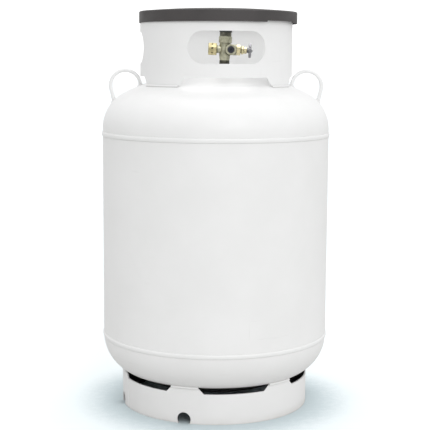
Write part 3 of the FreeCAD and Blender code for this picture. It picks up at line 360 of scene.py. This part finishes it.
def white_paint():
    """Powder coat over welded steel. Inside the foot ring, under the lower head, the colour is painted near black
    as shade.
    """
    finish = Finish("white_powder_coat", roughness=0.4)
    graph = finish.graph
    peel = finish.effect(orange_peel, Peel_Scale=240.0, Wave_Scale=6.0)[0]
    clouds = graph.noise(finish.place, 5.0, 5.0, 0.6)
    colour = graph.mix(graph.ramp(clouds, 0.3, 0.7), (0.815, 0.818, 0.818, 1), (0.84, 0.843, 0.845, 1))
    dust = finish.effect(settled_dust, Amount=0.10)[0]
    colour = graph.mix(dust, colour, (0.62, 0.60, 0.56, 1))
    marks = finish.effect(handling_marks, Mark_Scale=7.0, Amount=0.16)[0]
    colour = graph.mix(marks, colour, (0.50, 0.50, 0.50, 1))
    wear = finish.effect(edge_wear, Edge_Width=0.0016, Break_Scale=60.0)[0]
    colour = graph.mix(graph.math("MULTIPLY", wear, 0.22), colour, (0.42, 0.40, 0.37, 1))
    # Painted shade: darker in creases and hollows, such as along the weld beads' edges, broken up unevenly.
    painted_recess_shade = finish.effect(sheltered, Reach=0.009)[0]
    colour = graph.mix(graph.math("MULTIPLY", painted_recess_shade, 0.45), colour, (0.38, 0.37, 0.35, 1))
    place = graph.add("ShaderNodeSeparateXYZ", {0: finish.place}).outputs
    splash = graph.math("MULTIPLY", graph.ramp(place["Z"], 0.03, 0.0), graph.ramp(clouds, 0.35, 0.65))
    colour = graph.mix(graph.math("MULTIPLY", splash, 0.25), colour, (0.45, 0.42, 0.37, 1))
    # Painted shade: near black inside the foot ring, below the lower seam.
    flat = graph.add("ShaderNodeCombineXYZ", {"X": place["X"], "Y": place["Y"]}).outputs[0]
    radius = graph.add("ShaderNodeVectorMath", {0: flat}, operation="LENGTH").outputs["Value"]
    inside = graph.math("LESS_THAN", radius, ring_inside + 0.3 * MM)
    painted_shade_inside_ring = graph.math("MULTIPLY", inside, graph.math("LESS_THAN", place["Z"], seam_low - 20 * MM))
    colour = graph.mix(painted_shade_inside_ring, colour, (0.016, 0.016, 0.017, 1))
    finish.feed("Base Color", colour)
    finish.feed("Roughness", graph.ramp(clouds, 0.25, 0.75, 0.34, 0.46))
    finish.bump(peel, 0.25, 0.12 * MM)
    return finish.material


def lid_polymer():
    finish = Finish("charcoal_lid_moulding", roughness=0.6)
    graph = finish.graph
    height, patches = finish.effect(cast_grain, Grain_Scale=700.0, Patch_Scale=12.0)[:2]
    colour = graph.mix(patches, (0.046, 0.042, 0.042, 1), (0.058, 0.053, 0.053, 1))
    dust = finish.effect(settled_dust, Amount=0.35)[0]
    colour = graph.mix(dust, colour, (0.16, 0.155, 0.15, 1))
    marks = finish.effect(handling_marks, Mark_Scale=12.0, Amount=0.3)[0]
    colour = graph.mix(marks, colour, (0.17, 0.165, 0.165, 1))
    wear = finish.effect(edge_wear, Edge_Width=0.0016, Break_Scale=70.0)[0]
    colour = graph.mix(graph.math("MULTIPLY", wear, 0.3), colour, (0.2, 0.195, 0.19, 1))
    finish.feed("Base Color", colour)
    finish.feed("Roughness", graph.ramp(patches, 0.0, 1.0, 0.52, 0.68))
    finish.bump(height, 0.35, 0.10 * MM)
    return finish.material


def brass(name, light, dark, roughness, grain, turned=False, tarnish=0.25):
    """Brass with its own two tones, a cast skin or one turned on the handwheel's axis."""
    finish = Finish(name, metallic=1.0, roughness=roughness)
    graph = finish.graph
    height, patches = finish.effect(cast_grain, Grain_Scale=grain, Patch_Scale=70.0)[:2]
    colour = graph.mix(patches, dark, light)
    stains = graph.ramp(graph.noise(finish.place, 130.0, 6.0, 0.7), 0.5, 0.75, 0.0, tarnish)
    colour = graph.mix(stains, colour, times(dark, 0.45))
    wear = finish.effect(edge_wear, Edge_Width=0.0008, Break_Scale=220.0)[0]
    colour = graph.mix(graph.math("MULTIPLY", wear, 0.6), colour, times(light, 1.25))
    # Painted shade: near black in hollows, such as the relief cap's vent holes.
    painted_recess_shade = graph.math("MULTIPLY", finish.effect(sheltered, Reach=0.006)[0], 0.92)
    colour = graph.mix(painted_recess_shade, colour, (0.03, 0.028, 0.02, 1))
    finish.feed("Base Color", colour)
    finish.feed("Roughness", graph.ramp(patches, 0.0, 1.0, roughness + 0.1, roughness - 0.06))
    if turned:
        along = graph.dot(finish.place, tuple(valve_right))
        packed = graph.add("ShaderNodeCombineXYZ", {"X": along}).outputs[0]
        rings = graph.add("ShaderNodeGroup", {"Vector": packed}, node_tree=tool_rings)
        finish.bump(rings.outputs[0], 0.3, 0.03 * MM)
    else:
        finish.bump(height, 0.5, 0.08 * MM)
    return finish.material


def grey_metal(name, light, dark, roughness):
    finish = Finish(name, metallic=1.0, roughness=roughness)
    graph = finish.graph
    height, patches = finish.effect(cast_grain, Grain_Scale=1200.0, Patch_Scale=90.0)[:2]
    colour = graph.mix(patches, dark, light)
    wear = finish.effect(edge_wear, Edge_Width=0.0007, Break_Scale=260.0)[0]
    colour = graph.mix(graph.math("MULTIPLY", wear, 0.7), colour, (0.85, 0.85, 0.85, 1))
    finish.feed("Base Color", colour)
    finish.feed("Roughness", graph.ramp(patches, 0.0, 1.0, roughness + 0.08, roughness - 0.05))
    finish.bump(height, 0.4, 0.05 * MM)
    return finish.material


def soft_polymer(name, light, dark, roughness):
    """A small moulding or a rubber seal."""
    finish = Finish(name, roughness=roughness)
    graph = finish.graph
    height, patches = finish.effect(cast_grain, Grain_Scale=1500.0, Patch_Scale=110.0)[:2]
    colour = graph.mix(patches, dark, light)
    marks = finish.effect(handling_marks, Mark_Scale=140.0, Amount=0.35)[0]
    colour = graph.mix(marks, colour, times(light, 3))
    finish.feed("Base Color", colour)
    finish.feed("Roughness", graph.ramp(patches, 0.0, 1.0, roughness + 0.07, roughness - 0.05))
    finish.bump(height, 0.3, 0.04 * MM)
    return finish.material


seam_low = (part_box("lower_girth_weld")[0].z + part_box("lower_girth_weld")[1].z) / 2
vessel_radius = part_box("shell")[1].x
ring_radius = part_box("foot_ring")[1].x
ring_inside = min(math.hypot(point.x, point.y) for point in points_of("foot_ring"))
collar_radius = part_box("collar")[1].y

paint = white_paint()
lid_finish = lid_polymer()
forged_brass = brass(
    "forged_brass", (0.52, 0.51, 0.38, 1), (0.37, 0.365, 0.275, 1), roughness=0.42, grain=1100.0
)
cap_brass = brass(
    "relief_cap_brass",
    (0.60, 0.53, 0.30, 1),
    (0.45, 0.40, 0.23, 1),
    roughness=0.42,
    grain=1600.0,
    tarnish=0.2,
)
turned_brass = brass(
    "turned_brass",
    (0.80, 0.72, 0.46, 1),
    (0.62, 0.56, 0.34, 1),
    roughness=0.22,
    grain=1600.0,
    turned=True,
    tarnish=0.12,
)
thread_brass = brass(
    "sealed_thread_brass", (0.21, 0.205, 0.165, 1), (0.12, 0.12, 0.10, 1), roughness=0.48, grain=1300.0
)
wheel_metal = grey_metal("die_cast_wheel", (0.40, 0.40, 0.41, 1), (0.29, 0.29, 0.31, 1), 0.40)
bare_steel = grey_metal("plated_steel", (0.62, 0.62, 0.61, 1), (0.50, 0.50, 0.49, 1), 0.35)
plug_polymer = soft_polymer("blue_black_plug", (0.030, 0.034, 0.045, 1), (0.020, 0.023, 0.032, 1), 0.42)
cap_polymer = soft_polymer("black_cap", (0.020, 0.020, 0.020, 1), (0.012, 0.012, 0.012, 1), 0.45)
seal_rubber = soft_polymer("seal_rubber", (0.018, 0.018, 0.018, 1), (0.010, 0.010, 0.010, 1), 0.7)

finish_of_slot = {
    "white_paint": paint,
    "lid_polymer": lid_finish,
    "valve_brass": forged_brass,
    "bright_brass": turned_brass,
    "handwheel_metal": wheel_metal,
    "bare_steel": bare_steel,
    "plug_polymer": plug_polymer,
    "cap_polymer": cap_polymer,
    "seal_rubber": seal_rubber,
}
for part in frame["record"]["subparts"]:
    for material_slot in nodes[part["node"]].material_slots:
        material_slot.material = finish_of_slot[part["material_slot"]]
# The relief cap gets its own paler brass. The poppet, spring and adjuster inside it get the dark thread brass as
# painted shade, so the vent holes show dark.
cap_colour_and_inner_shade = {
    "relief_cap": cap_brass,
    "relief_poppet": thread_brass,
    "relief_spring": thread_brass,
    "relief_adjuster": thread_brass,
}
for node, finish in cap_colour_and_inner_shade.items():
    for material_slot in nodes[node].material_slots:
        material_slot.material = finish


# ---- mesh helpers

def as_piece(name, mesh, finish, body, slot, *replaced):
    """A finished mesh as a piece of the tank that rides on a body."""
    piece = bpy.data.objects.new(name, mesh)
    bpy.context.scene.collection.objects.link(piece)
    mesh.materials.clear()
    mesh.materials.append(finish)
    mesh.polygons.foreach_set("material_index", [0] * len(mesh.polygons))
    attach(piece, body)
    if replaced:
        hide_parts(*replaced)
    return piece


def shade(mesh, sharp_degrees):
    mesh.polygons.foreach_set("use_smooth", [True] * len(mesh.polygons))
    mesh.set_sharp_from_angle(angle=math.radians(sharp_degrees))


def turned_mesh(name, outline, place, segments, shape=None, closed=False):
    """A lathe-turned mesh. The outline is (radius, distance along Z) in millimetres.

    A closed outline goes round a bore. shape(angle, radius, along) changes a radius."""
    work = bmesh.new()
    rows = []
    for radius, along in outline:
        if radius == 0:
            rows.append([work.verts.new(place @ Vector((0, 0, along * MM)))])
            continue
        row = []
        for step in range(segments):
            angle = 2 * math.pi * step / segments
            reach = shape(angle, radius, along) if shape else radius
            point = Vector((reach * math.cos(angle), reach * math.sin(angle), along)) * MM
            row.append(work.verts.new(place @ point))
        rows.append(row)
    pairs = list(zip(rows, rows[1:]))
    if closed:
        pairs.append((rows[-1], rows[0]))
    for first, second in pairs:
        for i in range(segments):
            j = (i + 1) % segments
            if len(first) == 1:
                work.faces.new((first[0], second[i], second[j]))
            elif len(second) == 1:
                work.faces.new((first[i], first[j], second[0]))
            else:
                work.faces.new((first[i], first[j], second[j], second[i]))
    bmesh.ops.recalc_face_normals(work, faces=work.faces)
    mesh = bpy.data.meshes.new(name)
    work.to_mesh(mesh)
    work.free()
    shade(mesh, 35)
    return mesh


def thread_height(place_in_pitch):
    """A trapezoid thread's height from 0 at the root to 1 at the crest."""
    share = place_in_pitch % 1.0
    return min(1.0, max(0.0, 4.0 * min(share, 1.0 - share) - 0.5))


def thread_piece(name, radius, low, high, pitch, depth):
    """An outside thread as a thin sleeve over a plain neck of the valve, faded out at both ends."""
    core = radius - 0.5
    steps = round(8 * (high - low) / pitch)
    rows = [(radius, low + (high - low) * step / steps) for step in range(steps + 1)]

    def shape(angle, reach, along):
        if reach == core:
            return core
        fade = max(0.0, min(1.0, (along - low) / pitch, (high - along) / pitch))
        return radius + 0.05 + depth * fade * thread_height(along / pitch - angle / (2 * math.pi))

    outline = [(core, low)] + rows + [(core, high)]
    mesh = turned_mesh(name, outline, valve_frame, 96, shape, closed=True)
    return as_piece(name, mesh, thread_brass, "tank", "valve_brass")


def heights_where(node, wanted):
    """Heights in millimetres along the valve of a node's points whose radius and height pass a test."""
    heights = []
    for point in points_of(node, valve_frame):
        radius = math.hypot(point.x, point.y) / MM
        if wanted(radius, point.z / MM):
            heights.append(point.z / MM)
    return heights


def make_threads():
    """The sealed thread over the boss, and the filling thread that shows under its cap."""
    boss_top = span_of("valve_boss", valve_frame)[1].z / MM
    neck_radius = 16.5
    neck_top = max(heights_where("valve_body", lambda r, z: abs(r - neck_radius) < 0.1 and z < -30))
    thread_piece("neck_thread", neck_radius, boss_top + 0.6, neck_top, 1.8, 0.8)
    filler_radius = 19.0
    hexagon_top = max(heights_where("filler_connection", lambda r, z: r > filler_radius + 1.5))
    cap_bottom = span_of("filler_cap", valve_frame)[0].z / MM
    thread_piece("filling_thread", filler_radius, hexagon_top + 0.3, cap_bottom - 0.6, 2.6, 0.9)


make_threads()


def shortening_spring(name, node, joint):
    """A copy of a spring's mesh as a piece of its own, with the spring's node hidden."""
    work = merged_copy(node)
    mesh = bpy.data.meshes.new(name)
    work.to_mesh(mesh)
    work.free()
    shade(mesh, 40)
    opening = Vector(joints[joint]["axis"]).normalized()
    reach = [vertex.co.dot(opening) for vertex in mesh.vertices]
    spring = as_piece(name, mesh, nodes[node].material_slots[0].material, "tank", "bare_steel", node)
    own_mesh(spring)


shortening_spring("relief_coil", "relief_spring", "relief_open")
shortening_spring("filler_check_coil", "filler_check_spring", "filler_check_open")


# ---- weld beads

def weld_bead_tree():
    """Sweeps a rippled bead along a path: each ripple is one puddle of the weld."""
    tree = bpy.data.node_groups.new("weld_bead", "GeometryNodeTree")
    sockets = tree.interface
    sockets.new_socket("Path", in_out="INPUT", socket_type="NodeSocketGeometry")
    for label in ("Across", "Proud", "Ripple Spacing", "Ripple Depth"):
        sockets.new_socket(label, in_out="INPUT", socket_type="NodeSocketFloat")
    sockets.new_socket("Finish", in_out="INPUT", socket_type="NodeSocketMaterial")
    sockets.new_socket("Bead", in_out="OUTPUT", socket_type="NodeSocketGeometry")
    graph = Graph(tree)
    given = graph.add("NodeGroupInput").outputs
    curve = graph.add("GeometryNodeMeshToCurve", {"Mesh": given["Path"]}).outputs[0]
    step = graph.math("DIVIDE", given["Ripple Spacing"], 4.0)
    steps = {"Curve": curve, "Length": step}
    curve = graph.add("GeometryNodeResampleCurve", steps, mode="LENGTH").outputs[0]
    here = graph.add("GeometryNodeInputPosition").outputs[0]
    level = (1.0, 1.0, 0.0)
    outward = graph.add("ShaderNodeVectorMath", {0: here, 1: level}, operation="MULTIPLY").outputs[0]
    facing = {"Curve": curve, "Normal": outward}
    curve = graph.add("GeometryNodeSetCurveNormal", facing, mode="FREE").outputs[0]
    length = graph.add("GeometryNodeSplineParameter").outputs["Length"]
    turns = graph.math("DIVIDE", length, given["Ripple Spacing"])
    uneven = graph.noise(here, 45.0, 2.0)
    turns = graph.math("ADD", turns, graph.math("MULTIPLY", uneven, 1.5))
    puddle = graph.math("FRACT", turns)
    swell = graph.math("MULTIPLY", graph.math("SUBTRACT", puddle, 0.5), given["Ripple Depth"])
    lumps = graph.math("MULTIPLY", graph.math("SUBTRACT", uneven, 0.5), 0.16)
    radius = graph.math("ADD", graph.math("ADD", 1.0, swell), lumps)
    curve = graph.add("GeometryNodeSetCurveRadius", {"Curve": curve, "Radius": radius}).outputs[0]
    ring = graph.add("GeometryNodeCurvePrimitiveCircle", {"Resolution": 12, "Radius": 1.0}).outputs[0]
    half_sizes = {"X": given["Proud"], "Y": given["Across"], "Z": 1.0}
    size = graph.add("ShaderNodeCombineXYZ", half_sizes).outputs[0]
    profile = graph.add("GeometryNodeTransform", {"Geometry": ring, "Scale": size}).outputs[0]
    sweep = {"Curve": curve, "Profile Curve": profile, "Fill Caps": True}
    bead = graph.add("GeometryNodeCurveToMesh", sweep).outputs[0]
    bead = graph.add("GeometryNodeRealizeInstances", {"Geometry": bead}).outputs[0]
    bead = graph.add("GeometryNodeSetShadeSmooth", {"Geometry": bead}).outputs[0]
    bead = graph.add("GeometryNodeSetMaterial", {"Geometry": bead, "Material": given["Finish"]}).outputs[0]
    result = graph.add("NodeGroupOutput")
    tree.links.new(bead, result.inputs[0])
    return tree


weld_bead = weld_bead_tree()


def path_object(paths):
    """Open or closed lines of points as one mesh of edges. A path is (points, closed)."""
    work = bmesh.new()
    for points, closed in paths:
        vertices = [work.verts.new(point) for point in points]
        for first, second in zip(vertices, vertices[1:]):
            work.edges.new((first, second))
        if closed:
            work.edges.new((vertices[-1], vertices[0]))
    mesh = bpy.data.meshes.new("weld_path")
    work.to_mesh(mesh)
    work.free()
    path = bpy.data.objects.new("weld_path", mesh)
    bpy.context.scene.collection.objects.link(path)
    return path


def swept_mesh(name, paths, tree, finish, **sizes):
    """The plain mesh that a tree makes on some paths."""
    path = path_object(paths)
    modifier = path.modifiers.new("sweep", "NODES")
    modifier.node_group = tree
    wanted = {label.replace("_", " "): value for label, value in sizes.items()}
    wanted["Finish"] = finish
    for item in tree.interface.items_tree:
        if item.in_out == "INPUT" and item.name in wanted:
            modifier[item.identifier] = wanted[item.name]
    graph = bpy.context.evaluated_depsgraph_get()
    mesh = bpy.data.meshes.new_from_object(path.evaluated_get(graph))
    mesh.name = name
    bpy.data.objects.remove(path)
    return mesh


def bead_piece(name, paths, across, proud, spacing, depth, *replaced):
    """A painted bead. Half its width, its height and its ripples' spacing are in millimetres."""
    sizes = {
        "Across": across * MM,
        "Proud": proud * MM,
        "Ripple_Spacing": spacing * MM,
        "Ripple_Depth": depth,
    }
    mesh = swept_mesh(name, paths, weld_bead, paint, **sizes)
    return as_piece(name, mesh, paint, "tank", "white_paint", *replaced)


def arc_points(radius, height, first, last, count):
    """Points round the tank's axis, between two bearings from the front towards +X."""
    points = []
    for step in range(count + 1):
        bearing = first + (last - first) * step / count
        points.append(Vector((radius * math.sin(bearing), -radius * math.cos(bearing), height)))
    return points


def bearing_span(points):
    """The first and last bearing of some points round the tank's axis."""
    middle = math.atan2(sum(p.x for p in points), -sum(p.y for p in points))
    offsets = []
    for point in points:
        offset = math.atan2(point.x, -point.y) - middle
        offsets.append((offset + math.pi) % (2 * math.pi) - math.pi)
    return middle + min(offsets), middle + max(offsets)


def girth_bead(name, node):
    low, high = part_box(node)
    across = (high.z - low.z) / 2 / MM
    proud = (high.x - vessel_radius) / MM
    ring = arc_points(vessel_radius, (low.z + high.z) / 2, 0, 2 * math.pi, 240)[:-1]
    return bead_piece(name, [(ring, True)], across, proud, 5.0, 0.10, node)


def seam_bead_path(points, radius):
    """A straight weld up the side, from the points of its CAD bead."""
    first, last = bearing_span(points)
    middle = (first + last) / 2
    heights = [point.z for point in points]
    low, high = min(heights), max(heights)
    path = []
    for step in range(9):
        height = low + (high - low) * step / 8
        path.append(Vector((radius * math.sin(middle), -radius * math.cos(middle), height)))
    return path, (last - first) * radius / 2 / MM


def beads_round_the_axis(name, node, radius, height, size, seam_radius, seam_proud):
    """A fillet weld in several stretches round the axis, and the seam weld kept in the same node."""
    arcs = []
    seams = []
    seam_across = 1.0
    for points in separate_pieces(node):
        first, last = bearing_span(points)
        if last - first < math.radians(5):
            path, seam_across = seam_bead_path(points, seam_radius)
            seams.append((path, False))
        else:
            inset = size * MM / radius
            arcs.append((arc_points(radius, height, first + inset, last - inset, 60), False))
    piece = bead_piece(name, arcs, size, size, 6.0, 0.16, node)
    bead_piece(name + "_seam", seams, seam_across, seam_proud, 5.0, 0.12, node)
    return piece


def make_weld_beads():
    girth_bead("upper_girth_bead", "upper_girth_weld")
    girth_bead("lower_girth_bead", "lower_girth_weld")
    path, across = seam_bead_path(points_of("shell_seam_weld"), vessel_radius)
    shell_seam_height = 2.2
    bead_piece("shell_seam_bead", [(path, False)], across, shell_seam_height, 5.0, 0.12, "shell_seam_weld")
    foot_fillet = 5.0
    foot_seam_height = 2.0
    ring_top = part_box("foot_ring")[1].z
    middle = ring_radius + 0.1 * foot_fillet * MM
    beads_round_the_axis(
        "foot_ring_beads", "foot_ring_welds", middle, ring_top, foot_fillet, ring_radius, foot_seam_height
    )
    collar_fillet = 4.2
    collar_seam_height = 1.4
    collar_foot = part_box("collar")[0].z
    middle = collar_radius + 0.3 * MM
    beads_round_the_axis(
        "collar_beads",
        "collar_welds",
        middle,
        collar_foot,
        collar_fillet,
        collar_radius,
        collar_seam_height,
    )
    lug_beads()
    boss_bead()


def lug_beads():
    """Beads round the lugs' bars where these meet the head."""
    fillet = 3.6
    stand_out = 0.8 * MM
    feet = []
    for lug in ("right_lifting_lug", "left_lifting_lug"):
        for loop in sharp_loops(lug, math.radians(35)):
            middle = sum(loop, Vector()) / len(loop)
            ring = [point + (point - middle).normalized() * stand_out for point in loop]
            feet.append((ring, True))
    bead_piece("lifting_lug_beads", feet, fillet, fillet, 4.5, 0.2, "lifting_lug_welds")


def boss_bead():
    """The bead round the valve's boss, at the height of the head's crown."""
    fillet = 4.5
    height = (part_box("upper_head")[1].z - cross.z) / valve_up.z
    radius = span_of("valve_boss", valve_frame)[1].x
    ring = []
    for step in range(72):
        angle = 2 * math.pi * step / 72
        ring.append(valve_frame @ Vector((radius * math.cos(angle), radius * math.sin(angle), height)))
    bead_piece("valve_boss_bead", [(ring, True)], fillet, fillet, 5.0, 0.16, "valve_boss_weld")


make_weld_beads()


# ---- camera, floor and light

def make_camera():
    data = bpy.data.cameras.new("studio_camera")
    data.lens = 96.06
    data.sensor_width = 36.0
    camera = bpy.data.objects.new("studio_camera", data)
    bpy.context.scene.collection.objects.link(camera)
    camera.location = (-0.0008, -3.891, 1.168)
    pitch = Matrix.Rotation(math.radians(90 - 7.72), 4, "X")
    roll = Matrix.Rotation(math.radians(0.33), 4, "Z")
    camera.rotation_euler = (pitch @ roll).to_euler()
    bpy.context.scene.camera = camera


def make_floor():
    work = bmesh.new()
    bmesh.ops.create_circle(work, cap_ends=True, radius=60.0, segments=96)
    mesh = bpy.data.meshes.new("studio_floor")
    work.to_mesh(mesh)
    work.free()
    floor = bpy.data.objects.new("studio_floor", mesh)
    bpy.context.scene.collection.objects.link(floor)
    finish = Finish("pale_floor", roughness=0.9)
    graph = finish.graph
    patches = graph.ramp(graph.noise(finish.place, 1.5, 4.0), 0.3, 0.7)
    # Painted shadow: the floor turns a darker blue-grey near the tank, where its contact shadow falls.
    painted_shadow = graph.ramp(finish.effect(sheltered, Reach=0.24)[0], 0.0, 0.75)
    open_floor = graph.mix(patches, (0.86, 0.92, 0.94, 1), (0.87, 0.93, 0.95, 1))
    shaded_floor = graph.mix(patches, (0.58, 0.67, 0.70, 1), (0.60, 0.69, 0.72, 1))
    seen = graph.mix(painted_shadow, open_floor, shaded_floor)
    is_seen = graph.add("ShaderNodeLightPath").outputs["Is Camera Ray"]
    colour = graph.mix(is_seen, (0.56, 0.56, 0.55, 1), seen)
    finish.feed("Base Color", colour)
    mesh.materials.append(finish.material)


def make_sky():
    """Even white light all round, and a brighter plain white where it is seen."""
    world = bpy.data.worlds.new("studio_white")
    world.use_nodes = True
    bpy.context.scene.world = world
    graph = Graph(world.node_tree)
    world.node_tree.nodes.clear()
    seen = graph.add("ShaderNodeLightPath").outputs["Is Camera Ray"]
    light = 0.86
    backdrop = 1.25
    strength = graph.math("MULTIPLY_ADD", seen, backdrop - light, light)
    sky = graph.add("ShaderNodeBackground", {"Color": (1, 1, 1, 1), "Strength": strength})
    output = graph.add("ShaderNodeOutputWorld")
    world.node_tree.links.new(sky.outputs[0], output.inputs["Surface"])


def collar_panel():
    """A soft panel under the lid, not seen itself, that lights the inside of the collar."""
    data = bpy.data.lights.new("collar_panel", "AREA")
    data.shape = "DISK"
    data.size = 0.36
    data.energy = 0.75
    light = bpy.data.objects.new("collar_panel", data)
    bpy.context.scene.collection.objects.link(light)
    light.location = (0.0, 0.0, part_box("collar")[1].z - 14 * MM)
    light.visible_camera = False


def soft_sun(name, strength, softness, direction):
    data = bpy.data.lights.new(name, "SUN")
    data.energy = strength
    data.angle = math.radians(softness)
    light = bpy.data.objects.new(name, data)
    bpy.context.scene.collection.objects.link(light)
    light.rotation_euler = Vector(direction).to_track_quat("Z", "Y").to_euler()


make_camera()
make_floor()
make_sky()
collar_panel()
soft_sun("overhead_light", 1.0, 50.0, (0.0, 0.15, 1.0))
soft_sun("front_right_light", 0.75, 35.0, (0.38, -0.9, 0.4))
bpy.context.scene.view_settings.view_transform = "Standard"
